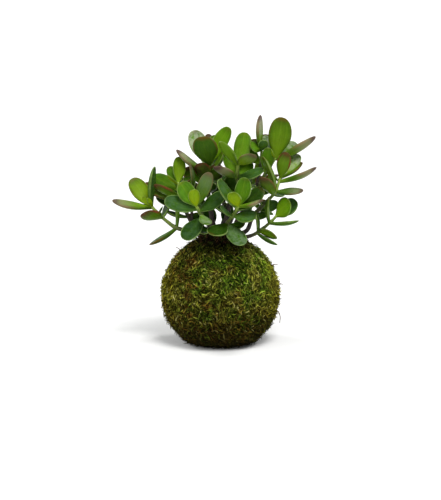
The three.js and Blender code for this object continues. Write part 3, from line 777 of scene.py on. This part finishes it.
# Each limb belongs to a stem, and has its thickness at the root and the tip and the points that its
# line passes through. A leaf has its place on the line, its tip, its width, its kind and the way its
# upper side faces. A pair of leaves has its place, its turn round the limb, its spread and its length.
limbs = [
    {"stem": "left", "thick": (6, 2.8), "line": [
        (-14, -2, 95.3), (-14, -2, 107), (-21, -4, 112), (-34, -8, 114.5), (-45.5, -9, 118),
        (-59, -10, 129), (-69, -10, 139.5),
    ], "leaves": [
        (6, (-88.3, 0, 165.3), 19, "olive", (0.3, -0.9, 0.4)),
        (6, (-107, -14, 144.4), 15, "redTip", (0.35, -0.25, 0.9)),
        (6, (-64.4, -14, 179), 15, "blue", (0.95, -0.3, 0)), (6, (-77, -9, 148), 5, "young"),
        (6, (-72, -17, 148), 5, "young"), (5, (-75.5, -26, 134.5), 22, "redEdge", (0.1, 0.7, 0.7)),
        (5, (-53, 12, 141), 13, "dark"), (1.9, (-27, 8, 129), 13, "dark", (0, -1, 0.2)),
        (5.4, (-57.5, -14, 139), 8, "dark"), (4, (-71, -12, 101), 17, "plum"),
        (4, (-45, -6, 146), 12, "green", (-1, 0, 0.1)),
    ]},
    {"stem": "left", "thick": (4.6, 2.4), "line": [
        (-16, -2.5, 109.5), (-21, 0, 113), (-29, 1, 121), (-35, -1, 134), (-40, -4, 149), (-42, -8, 163),
    ], "leaves": [
        (5, (-41, 4, 186.6), 13, "ripe", (0, -1, 0.2)), (4.8, (-51.5, 8, 176.5), 12, "green", (0, -1, 0.3)),
        (5, (-52, -17, 171), 6, "young"), (5, (-30, -18, 166), 7, "brown"),
        (4.5, (-67, -3, 168), 15, "green", (-0.2, -0.8, 0.5)),
        (4, (-65, -18, 162), 13, "redEdge", (0.1, 0.5, 0.85)),
        (3.8, (-76, 6, 159), 16, "brown", (0, -0.5, 0.8)),
        (3.4, (-64, 12, 147), 15, "dark", (0, -0.6, 0.8)), (3, (-38, 24, 148), 14, "dark"),
        (3, (-30, -24, 142), 13, "dark"), (2.6, (-55, -3, 133), 13, "dark"),
    ]},
    {"stem": "left", "thick": (3.2, 2.2), "line": [
        (-29, 1, 121), (-28.5, -2, 135), (-28, -6, 147), (-28, -9, 157),
    ], "leaves": [
        (3, (-30, -15, 181), 13, "dull", (-1, 0, 0)), (3, (-33, 9, 167), 12, "green"),
    ]},
    {"stem": "front_left", "thick": (5, 2.6), "line": [
        (-6, -13, 95.3), (-6, -13, 107), (-9, -22, 119), (-15, -31, 129), (-20, -36, 136), (-24, -40, 145),
    ], "leaves": [
        (5, (-39, -44, 167), 18, "fresh", (0.1, -0.95, 0.3)),
        (5, (-10, -36, 176), 15, "dull", (-0.3, -0.9, 0.2)), (5, (-26, -49, 161), 12, "young", (0, 1, 0.2)),
        (5, (-21, -34, 158), 8, "young"), (4.6, (-54, -47, 150), 18, "blue", (0.1, -0.75, 0.6)),
        (4.4, (4, -34, 156), 15, "shade", (0, -0.8, 0.6)),
        (3.6, (-35, -52, 112), 19, "shade", (-0.1, -0.7, 0.7)),
        (4, (-12, -53, 127), 12, "frosted", (0.2, -0.6, 0.7)),
        (2, (-27, -38, 121), 13, "dark", (0, -0.7, 0.7)),
    ]},
    {"stem": "front_right", "thick": (5, 2.6), "line": [
        (4, -12, 95.3), (4, -12, 107), (4.5, -22, 117), (7, -31, 126), (13, -38, 135), (18, -41, 145),
    ], "leaves": [
        (5, (24, -37, 171), 17, "green", (-0.3, -0.9, 0.2)),
        (5, (11, -54, 159), 14, "young", (0.2, 0.9, 0.4)), (5, (41, -49, 151), 11, "blush"),
        (4.8, (-2, -45, 170), 14, "blue", (0.4, -0.6, 0.6)),
        (4.6, (41.5, -29, 159), 17, "dark", (-0.2, -0.8, 0.5)), (4, (0, -48, 143), 11, "blue"),
        (4, (35, -46, 134), 18, "blue", (0, -0.6, 0.8)), (3, (-9, -57, 118), 19, "dark", (0, -0.6, 0.8)),
        (3, (21, -56, 108), 19, "powdery", (0.2, -0.7, 0.7)),
    ]},
    {"stem": "upper_left", "thick": (6.4, 3), "line": [
        (-6, -3, 95.3), (-7, -3, 110), (-9, -3, 130), (-12, -4, 150), (-12, -5, 166), (-11, -7, 182),
    ], "leaves": [
        (5, (-18, -22, 209), 25, "deep", (0.1, 0.9, 0.4)),
        (5, (-27.5, 5, 212.5), 20, "pale", (0.3, -0.9, 0.3)), (5, (-12, 14, 208), 12, "brown"),
        (5, (-5, 6, 208), 14, "green", (-0.3, -0.9, 0.2)),
        (5, (8.6, 1, 216.3), 16, "bright", (0.2, -0.95, 0.2)), (4.4, (-44, 2, 193.4), 13, "redTip"),
        (4.5, (2, -4, 192), 13, "green"), (4, (-22, -15, 182), 16, "brown", (0, 0.9, 0.3)),
        (4, (1, -6, 179), 16, "brown", (0, 0.9, 0.3)), (3.2, (-10, -26, 165), 15, "dark", (0, 0.6, 0.8)),
        (3.6, (-28, 6, 177), 13, "green", (0, -0.9, 0.3)),
        (2.4, (-27, -16, 148), 14, "dark", (0, -0.7, 0.7)), (1.45, (-13, 6, 136), 14, "dark", (0, -1, 0.2)),
    ]},
    {"stem": "centre", "thick": (6, 2.8), "line": [
        (3, -1.5, 95.3), (4, -2, 112), (7, -3, 132), (12, -6, 152), (16, -10, 168), (17, -12, 183),
    ], "leaves": [
        (5, (0, -27, 205), 15, "bright", (0.5, 0.6, 0.3)),
        (5, (24, 6, 210.7), 18, "green", (-0.2, -0.9, 0.2)),
        # this leaf's kind is lightened as painted light, as its upper side is turned away from the light
        (5, (33, -30, 193), 16, "sunEdge", (-0.2, 0.8, 0.5)),
        (4.1, (-5, -32, 182), 16, "redTip", (0.2, 0.5, 0.85)),
        (4.2, (30, 13, 182), 15, "green", (0, -0.9, 0.3)), (4.2, (6, 7, 190), 15, "green", (0, -0.9, 0.3)),
        (4.1, (43, -14, 176), 15, "blue", (0, -0.5, 0.8)), (3.2, (2, -28, 164), 16, "dark", (0, -0.7, 0.7)),
        (2.8, (9, -19, 171), 13, "dark", (0, -0.8, 0.6)), (3.2, (30, 4, 166), 16, "dark", (0, -0.8, 0.6)),
        (1.4, (24, -19, 122), 12, "dark", (0, -0.7, 0.7)),
        (2.2, (-7, -22, 143), 14, "dark", (0, -0.7, 0.7)), (1.4, (8, 8, 139), 13, "dark", (0, -1, 0.2)),
    ]},
    {"stem": "upper_right", "thick": (6, 2.8), "line": [
        (11, 3.5, 95.3), (12, 3, 110), (20, 2, 128), (34, 0, 150), (45, -1, 171), (55, -3, 187),
    ], "leaves": [
        (5, (60.3, -10, 227.2), 23, "tall", (0, -1, 0.1)),
        (5, (94.2, 3, 206.8), 15, "redTip", (-0.45, 0.42, 0.78)),
        (5, (75, 12, 200), 17, "frosted", (-0.3, -0.8, 0.6)),
        (5, (44, 5, 208), 14, "powdery", (0.6, -0.7, 0.4)), (5, (50, -9, 195), 5, "young"),
        (5, (61, 2, 197), 5, "young"), (4.4, (36, 22, 186), 15, "green"),
        (1.8, (31, -16, 142), 14, "blue", (0, -0.7, 0.7)), (4, (47, -9, 197), 13, "fresh", (0, -1, 0.2)),
    ]},
    {"stem": "upper_right", "thick": (3.8, 2.4), "line": [
        (34, 0, 150), (38, 3, 166), (40, 3, 181), (40.5, 1, 195),
    ], "leaves": [
        (3, (39, 0, 228.3), 18, "redTip", (0.95, -0.3, 0)), (3, (33, 15, 203), 13, "brown"),
        (3, (46, 15, 208), 13, "brown"), (3, (29, -7, 200), 12, "fresh", (0.2, -0.7, 0.6)),
        (3, (43, -13, 205), 10, "blue", (0, 0.9, 0.4)), (2, (22, 14, 196), 14, "green", (0, -0.8, 0.5)),
    ]},
    {"stem": "right", "thick": (5.4, 2.6), "line": [
        (13.5, -5, 95.3), (16, -5, 107.5), (26.5, -6.5, 114.5), (32, -9, 128), (43, -12, 141.5),
        (53.5, -13.5, 153), (59.5, -9.5, 169),
    ], "leaves": [
        (6, (65, -19, 193.4), 14, "redEdge", (0.3, 0.9, 0.2)),
        (6, (78, 5, 189), 15, "speckled", (-0.4, -0.85, 0.3)),
        (6, (81, 0, 181.5), 12, "redEdge", (-0.3, -0.3, 0.9)), (5.8, (95, -9, 177), 15.5, "redTip"),
        (5.8, (49, -9, 173), 10, "dark"), (5.2, (41, -15, 189), 13, "ripe", (-0.9, -0.3, 0.1)),
        (5.2, (81.5, -17, 155.8), 15, "dull", (0, -0.3, 0.9)),
        (5, (41, -35, 171), 17, "rust", (0.3, 0.5, 0.8)), (5, (62, 8, 150), 12, "blue"),
        (4, (34, -22, 161), 12, "shade"), (3.6, (57, 4, 141), 13, "blue"),
        (3, (47, -6, 131), 8, "blue", (0, -0.9, 0.5)),
    ]},
    {"stem": "right_low", "thick": (5, 2.5), "line": [
        (11, -11, 95.3), (11.5, -11.5, 103.5), (18.5, -12.5, 108), (29, -13, 109.5), (38, -13, 114),
        (50, -13, 124), (56, -13, 130.5),
    ], "leaves": [
        (6, (67.8, -22, 145.8), 21, "bright", (-0.35, -0.75, 0.55)),
        (6, (75, -9, 144.5), 20, "blue", (-0.2, -0.6, 0.75)), (5, (77.5, -18, 125.6), 14, "green"),
        (5, (47, -25, 150), 13, "green", (1, -0.1, 0.1)), (4.2, (54.3, -29, 113), 18, "ripe"),
        (4, (56, -25, 103), 13, "blue"), (4, (34, -24, 137), 10, "dark", (-1, 0, 0.1)),
    ]},
    {"stem": "back_left", "thick": (5.6, 2.6), "line": [
        (-8, 8, 95.3), (-9, 9, 108), (-16, 18, 126), (-26, 28, 144), (-32, 33, 158),
    ], "pairs": [
        (4, 20, 28, 18), (4, 110, 60, 26), (3.5, 20, 72, 29), (2.9, 110, 82, 27), (2.2, 10, 84, 19),
    ]},
    {"stem": "back_left", "thick": (3.6, 2.4), "line": [
        (-16, 18, 126), (-25, 33, 134), (-34, 44, 145),
    ], "pairs": [
        (2, 60, 30, 18), (2, 150, 62, 25), (1.5, 60, 76, 26),
    ]},
    {"stem": "back_right", "thick": (5.6, 2.6), "line": [
        (4, 9.5, 95.3), (5, 11, 108), (14.5, 20, 128), (28, 28, 148), (36, 31, 164),
    ], "pairs": [
        (4, 70, 26, 18), (4, 160, 58, 25), (3.5, 70, 74, 28), (2.9, 160, 84, 26), (2.3, 100, 76, 20),
    ]},
    {"stem": "back_right", "thick": (3.6, 2.4), "line": [
        (14.5, 20, 128), (27, 34, 134), (39, 43, 144),
    ], "pairs": [
        (2, 0, 30, 18), (2, 90, 60, 26), (1.5, 0, 74, 26),
    ]},
    {"stem": "back_centre", "thick": (5, 2.6), "line": [
        (-2, 15, 95.3), (-1, 16, 107), (4, 24, 125), (2, 30, 150), (-4, 31, 174),
    ], "pairs": [
        (4, 45, 24, 19), (4, 135, 50, 25), (3.4, 60, 70, 27), (2.8, 100, 80, 24),
    ]},
    {"stem": "back_centre", "thick": (3.6, 2.4), "line": [
        (4, 24, 125), (3, 40, 131), (2, 51, 141),
    ], "pairs": [
        (2, 10, 28, 18), (2, 90, 58, 24), (1.5, 70, 72, 22),
    ]},
]
pairDrift = {"seed": 4099, "turn": 9, "spread": 7, "long": 0.08, "wide": 0.49}
pairKinds = ["green", "dark", "blue", "green", "redTip", "olive", "dark", "redEdge"]


# The smooth line through a limb's points, the same one that the CAD follows.
def pointOnLine(line, share):
    points = np.array(line, float)
    last = len(points) - 1
    place = last * share
    span = min(int(place), last - 1)
    t = place - span
    first, second = points[span], points[span + 1]
    before = points[span - 1] if span > 0 else 2 * points[0] - points[1]
    after = points[span + 2] if span + 2 <= last else 2 * points[last] - points[last - 1]
    leaving, arriving = (second - before) / 2, (after - first) / 2
    squared = (3 * (second - first) - 2 * leaving - arriving) * t**2
    return first + leaving * t + squared + (2 * (first - second) + leaving + arriving) * t**3


def directionOnLine(line, share):
    step = 0.0001
    return unit(pointOnLine(line, min(1, share + step)) - pointOnLine(line, max(0, share - step)))


def placeOn(limb, at):
    share = at / (len(limb["line"]) - 1)
    return pointOnLine(limb["line"], share), directionOnLine(limb["line"], share)


# Seeded draws between -1 and 1, the same ones as in the CAD.
def drawsFrom(seed):
    state = seed
    while True:
        state = state * 16807 % 2147483647
        yield 2 * state / 2147483647 - 1


def leavesOfPairs(limb, draws):
    leaves = []
    for at, turn, spread, long in limb.get("pairs", []):
        point, along = placeOn(limb, at)
        first = unit(np.cross((0, 1, 0), along))
        second = np.cross(along, first)
        for half in (0, 180):
            turned = radians(turn + half + pairDrift["turn"] * next(draws))
            spreadBy = radians(spread + pairDrift["spread"] * next(draws))
            reach = long * (1 + pairDrift["long"] * next(draws))
            outward = first * cos(turned) + second * sin(turned)
            tip = point + reach * (along * cos(spreadBy) + outward * sin(spreadBy))
            kind = pairKinds[(len(leaves) + int(at * 3)) % len(pairKinds)]
            leaves.append((at, tip, long * pairDrift["wide"], kind))
    return leaves


def leafOutline(t):
    past = (t - leafForm["widestAt"]) / (1 - leafForm["widestAt"])
    if past >= 0:
        return (1 - min(1, past) ** leafForm["tipRoundness"]) ** (1 / leafForm["tipRoundness"])
    swell = sin(pi / 2 * t / leafForm["widestAt"]) ** leafForm["baseFullness"]
    return leafForm["neck"] + (1 - leafForm["neck"]) * swell


def leafThickness(t):
    ends, added = leafForm["fullness"]
    return (ends + added * sin(pi * t)) * sqrt(max(0, 1 - t ** leafForm["tipFullness"]))


# A leaf as it would lie flat: one unit long, half a unit of width and thickness to each side.
def modelLeafBlank():
    rings = leafForm["rings"]
    stations = [(1 - cos(pi * i / rings)) / 2 for i in range(rings)]
    stations.append(leafForm["tipStation"])
    widths = [leafOutline(t) for t in stations]
    depths = [leafThickness(t) for t in stations]
    blank = modelBlank("leafBlank", leafForm["sides"], stations, widths, depths)
    points = pointsOf(blank)
    justShort = 0.999  # as the outline comes to nothing at the tip itself
    outline = np.array([leafOutline(min(t, justShort)) for t in points[:, 1]])
    places = np.stack([points[:, 0] / outline, points[:, 1], np.sign(points[:, 2])], axis=1)
    mark(blank, "leafPlace", places)
    return blank


def swing(random, name, count=None):
    return random.uniform(-leafForm[name], leafForm[name], count)


def growLeaf(blank, limb, leaf, random):
    at, tip, wide, kind = leaf[:4]
    point, direction = placeOn(limb, at)
    looks = np.array(leaf[4], float) if len(leaf) > 4 else direction
    root = point - direction * leafForm["sunk"]
    along = np.array(tip, float) - root
    long = np.linalg.norm(along)
    along = along / long
    up = unit(looks - along * (looks @ along))
    across = np.cross(along, up)
    thick = leafForm["thinnest"] + leafForm["thickShare"] * long
    x, t, z = pointsOf(blank).T
    share = np.where(z > 0, leafForm["upperShare"], 1 - leafForm["upperShare"])
    groove = 1 - leafForm["midrib"] * np.exp(-((x / leafForm["midribWidth"]) ** 2)) * (z > 0)
    twist = swing(random, "twist") * (t - 0.5)
    sway = swing(random, "sway") * long * np.sin(pi * t)
    ripple, waves, phase = (random.uniform(*span) for span in leafForm["ripple"])
    wave = ripple * x**2 * np.sin(2 * pi * t * waves + phase)
    curl = swing(random, "curl") * long * smoothStep(t, 0.6, 1)
    sideways = wide / 2 * x + sway
    cup, bow = leafForm["cup"] * wide * x**2, leafForm["bow"] * long * np.sin(pi * t)
    rise = thick * z * share * groove + cup - bow + wave + curl + twist * wide / 2 * x
    placed = root + along * (long * t)[:, None] + across * sideways[:, None] + up * rise[:, None]
    grown = copyOf(blank)
    movePoints(grown, placed * millimetre)
    look = np.clip(np.array(leafKinds[kind]) + swing(random, "drift", 4), 0, 1)
    mark(grown, "leafLook", np.tile(look, (len(placed), 1)))
    return grown


# A limb: a rod bent along its line, swollen at each pair of leaves and a little uneven.
def growLimb(blank, limb, leaves):
    x, share, z = pointsOf(blank).T
    spans = len(limb["line"]) - 1
    stations, ringOf = np.unique(share.round(5), return_inverse=True)
    placed = np.empty((len(share), 3))
    knuckles = sorted({leaf[0] for leaf in leaves})
    for number, station in enumerate(stations):
        ring = ringOf == number
        point, along = pointOnLine(limb["line"], station), directionOnLine(limb["line"], station)
        side = unit(np.cross(along, (0, 1, 0)))
        other = np.cross(side, along)
        at = station * spans
        radius = (limb["thick"][0] + (limb["thick"][1] - limb["thick"][0]) * station) / 2
        swell = sum(exp(-(((at - k) / stemForm["knuckleWidth"]) ** 2)) for k in knuckles)
        uneven = sum(size * sin(at * often + phase) for size, often, phase in stemForm["uneven"])
        radius = radius * (1 + stemForm["knuckle"] * min(swell, 1) + uneven)
        placed[ring] = point + (side * x[ring, None] + other * z[ring, None]) * radius
    grown = copyOf(blank)
    movePoints(grown, placed * millimetre)
    mark(grown, "leafPlace", np.stack([x, share, z], axis=1))
    mark(grown, "leafLook", np.stack([share, 0 * share, 0 * share, np.ones(len(share))], axis=1))
    return grown


# Tints laid over a leaf's green. Among them the rim is a painted highlight, the edge shade is painted shade,
# and the pale streaks and the bloom are partly painted highlight and glare.
leafTints = {
    "deep": (0.0055, 0.0275, 0.0007), "light": (0.076, 0.215, 0.005), "golden": (0.27, 0.365, 0.004),
    "nearStem": (0.18, 0.3, 0.014), "hazy": (0.065, 0.125, 0.065), "frosty": (0.36, 0.41, 0.26),
    "under": (0.05, 0.11, 0.01), "paleStreak": (0.15, 0.25, 0.02), "darkStreak": (0.012, 0.052, 0.001),
    "shaded": (0.014, 0.052, 0.001), "reddened": (0.15, 0.034, 0.012), "browned": (0.055, 0.03, 0.01),
    "faded": (0.15, 0.19, 0.09), "fadedRed": (0.24, 0.21, 0.12), "withered": (0.08, 0.046, 0.036),
    "tanned": (0.026, 0.014, 0.004), "rim": (0.22, 0.33, 0.09), "specks": (0.35, 0.42, 0.25),
}


def makeLeafMaterial():
    material, tree = startMaterial("jadeLeaf")
    place = addNode(tree, "Attribute", {"attribute_name": "leafPlace"}).outputs["Vector"]
    across, along, upper = addNode(tree, "SeparateXYZ", Vector=place).outputs
    light, red, yellow, bloom = readMark(tree, "leafLook")
    edge = calculate("ABSOLUTE", across)

    cloud = times(mottle(tree, 140, 0.3, 0.7), ease(light, 0, 0.5, 0.08, 0.22))
    lightness = calculate("MULTIPLY_ADD", light, 0.88, cloud)
    golden = times(yellow, ease(along, 0.1, 0.85, 1, 0.55), ease(light, 0, 0.45, 0.3, 1))
    nearStem = larger(ease(edge, 0, 0.28, 0.25, 0), ease(along, 0, 0.3, 0.9, 0))
    nearStem = times(nearStem, ease(light, 0.1, 0.8, 0.15, 1))
    # Pale bloom, stronger towards the tip: partly the leaf's own waxy bloom, partly painted sheen, and on
    # the palest leaves painted glare.
    hazy = times(bloom, mottle(tree, 260, 0.2, 0.6, 4, 0.3))
    hazy = times(ease(hazy, 0, 1, 0, 0.8), ease(along, 0.35, 0.95, 0.65, 1.2))
    haze = blend(ease(bloom, 0.6, 0.9), leafTints["hazy"], leafTints["frosty"])
    under = times(ease(upper, -0.5, 0.5, 0.3, 0), ease(yellow, 0.6, 1, 1, 0))

    stretched = calculateVector("MULTIPLY", place, (9, 1.6, 0))
    streaks = addNode(tree, "TexNoise", {"noise_dimensions": "4D"}, Vector=stretched, Scale=1, Detail=3)
    feed(streaks.inputs["W"], times(light, 40))  # so that each leaf has its own
    streaks = streaks.outputs["Fac"]
    # Pale streaks: partly the leaf's own pale lines, partly painted highlight.
    paleStreak = times(ease(streaks, 0.5, 0.72, 0, 0.4), ease(light, 0, 0.4, 0.08, 1))
    darkStreak = ease(streaks, 0.25, 0.45, 0.4, 0)

    # Painted shade: a darker band along the edges and towards the tip, where a domed leaf turns away from
    # the light.
    outerBand = larger(ease(edge, 0.5, 0.95), ease(along, 0.72, 0.96))
    shaded = times(outerBand, mottle(tree, 90, 0.3, 0.55, 2, 0.9), 0.5)
    redEdge = plus(edge, ease(red, 0.85, 1, 0, 0.06))
    sideMargin = times(ease(redEdge, 0.80, 0.97), ease(along, 0.3, 0.65))
    patchy = ease(mottle(tree, 150, 0.36, 0.54, 3, 0.7), 0, 1, 0.5, 1)
    reddened = times(larger(sideMargin, ease(along, 0.85, 0.98)), red, patchy)

    fading = times(ease(bloom, 0.08, 0.2), ease(red, 0.5, 0.75))
    browned = times(ease(along, 0.62, 0.97, 0, 0.75), ease(red, 0.4, 0.85), ease(yellow, 0.05, 0.2, 0.15, 1))
    browned = times(browned, ease(fading, 0, 1, 1, 0.4))
    faded = times(fading, ease(along, 0.35, 0.75, 0, 0.65))
    pallor = blend(ease(red, 0.62, 0.8), leafTints["faded"], leafTints["fadedRed"])
    withered = times(fading, ease(along, 0.78, 0.93, 0, 0.9))
    tanned = times(ease(red, 0.9, 1, 0, 0.75), mottle(tree, 110, 0.34, 0.6, 3, 0.2))
    tanned = times(tanned, ease(light, 0.12, 0.2, 1, 0), ease(along, 0.35, 0.7, 0.3, 1))

    # Painted highlight: a thin pale line along the edge and the tip, for light caught by the leaf's thick
    # rim; broken up, and faint on red leaves.
    rim = larger(ease(edge, 0.85, 0.95), ease(along, 0.97, 0.99))
    brokenRim = ease(mottle(tree, 80, 0.4, 0.6, 2, 1.7), 0, 1, 0.35, 1)
    rim = times(rim, ease(red, 0.25, 0.5, 0.7, 0.05), brokenRim)
    spot = addNode(tree, "TexCoord").outputs["Object"]
    dots = addNode(tree, "TexVoronoi", Scale=520, Vector=spot).outputs["Distance"]
    specks = times(ease(dots, 0.12, 0.28, 1, 0), ease(upper, 0, 0.5), ease(bloom, 0.6, 1, 0.05, 0.6))

    colour = layOver(
        blend(lightness, leafTints["deep"], leafTints["light"]),
        {**leafTints, "hazy": haze, "faded": pallor},
        golden=golden, nearStem=nearStem, hazy=hazy, under=under, paleStreak=paleStreak,
        darkStreak=darkStreak, shaded=shaded, reddened=reddened, browned=browned, faded=faded,
        withered=withered, tanned=tanned, rim=rim, specks=specks,
    )
    surface = tree.nodes["Principled BSDF"]
    surface.inputs["Subsurface Weight"].default_value = 0.1
    surface.inputs["Subsurface Radius"].default_value = (0.6, 1.0, 0.2)
    surface.inputs["Subsurface Scale"].default_value = 0.0012
    roughness = ease(mottle(tree, 300, 0.3, 0.7, 3, 1.1), 0, 1, 0.26, 0.38)
    return finishMaterial(material, colour, roughness, 0.04, (900, 3, 0.12, 0.0002))


def makeBarkMaterial():
    material, tree = startMaterial("jadeStem")
    share = readMark(tree, "leafLook")[0]
    woody = blend(mottle(tree, 350, 0.3, 0.7), (0.010, 0.007, 0.004), (0.046, 0.030, 0.014))
    fresh = blend(mottle(tree, 200, 0.3, 0.7, 3, 0.5), (0.062, 0.108, 0.008), (0.18, 0.26, 0.02))
    youngest = (0.28, 0.40, 0.05)
    fresh = blend(ease(share, 0.82, 1), fresh, youngest)
    colour = blend(ease(share, 0.45, 0.88), woody, fresh)
    return finishMaterial(material, colour, 0.6, grain=(1100, 4, 0.5, 0.0005))


leafBlank = modelLeafBlank()
leafBlank.data.materials.append(makeLeafMaterial())
limbBlank = modelRod("limbBlank", stemForm["sides"], stemForm["rings"], stemForm["tip"])
limbBlank.data.materials.append(makeBarkMaterial())

leafRandom = np.random.default_rng(leafForm["seed"])
pairDraws = drawsFrom(pairDrift["seed"])
stems = {}
for limb in limbs:
    leaves = [*limb.get("leaves", []), *leavesOfPairs(limb, pairDraws)]
    parts = stems.setdefault(f"leafy_stem_{limb['stem']}", [])
    parts.append(growLimb(limbBlank, limb, leaves))
    parts += [growLeaf(leafBlank, limb, leaf, leafRandom) for leaf in leaves]
for node, parts in stems.items():
    ownedBy(joinInto(f"{node}_grown", parts), node, "leaf")
print("leaves are grown")


# Loose roots: a few thin ones that have found their way out through the moss

looseRoots = {
    "sides": 6, "rings": 16, "thick": (1.2, 0.7), "tone": 0.9,
    "lines": [
        [(53.5, -11, 35), (57.5, -12, 33), (59.6, -13, 28), (59.1, -13.3, 21)],
        [(-37, -6, 91), (-40.5, -6.4, 95), (-44.5, -7, 97.6)],
        [(48, -8, 77), (53, -8.6, 80), (57.6, -9, 80.4)],
        [(55, -10, 58), (59.5, -10.3, 60.6), (62.4, -10.5, 60.2)],
        [(-52, 14, 34), (-55.8, 15, 32), (-57.8, 15.5, 26), (-57.2, 15.6, 20)],
        [(16, 52, 33), (17, 56.4, 31.5), (17.6, 58.6, 26), (17.4, 57.8, 19)],
    ],
}
rootBlank = modelRod("rootBlank", looseRoots["sides"], looseRoots["rings"])
parts = []
for line in looseRoots["lines"]:
    root = growLimb(rootBlank, {"line": line, "thick": looseRoots["thick"]}, [])
    mark(root, "strandMark", np.tile((looseRoots["tone"], 1, 0, 1), (len(root.data.vertices), 1)))
    parts.append(root)
ownedBy(joinInto("loose_roots", parts), "soil_ball", "soil", fineRoots)
print("loose roots hang out")

for blank in (shootBlank, fibreBlank, crumbBlank, leafBlank, limbBlank, rootBlank):
    bpy.data.objects.remove(blank)
